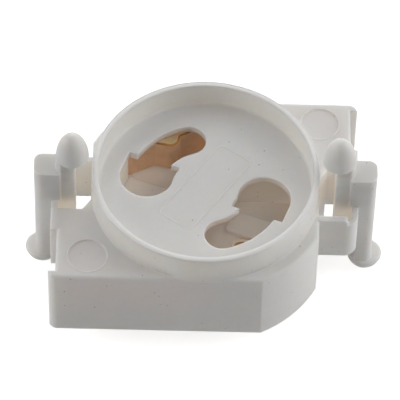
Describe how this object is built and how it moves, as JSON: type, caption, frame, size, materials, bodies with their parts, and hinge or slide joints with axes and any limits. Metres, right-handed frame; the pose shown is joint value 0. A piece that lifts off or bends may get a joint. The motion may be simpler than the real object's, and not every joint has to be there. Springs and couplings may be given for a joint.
{
  "type": "fluorescent starter holder",
  "caption": "Snap-in fluorescent starter holder: round collar around keyhole slots on a low moulded body, with snap clips on spring straps at the sides and push-in lead entries.",
  "frame": {"origin": "on the collar's axis, in the plane of the body's underside", "axes": "+Z along the collar's axis to the side where the starter goes in; +X along the line through the snap clips, towards the clip beside the rear block; +Y to the rear"},
  "size_m": [0.0382, 0.0242, 0.0206],
  "materials": {
    "housing_plastic": "moulded satin",
    "cover_plastic": "moulded satin",
    "contact_bronze": "rolled strip"
  },
  "bodies": {
    "root": {"housing": "housing_plastic", "back_cover": "cover_plastic", "contact_left": "contact_bronze", "contact_right": "contact_bronze"}
  },
  "joints": []
}
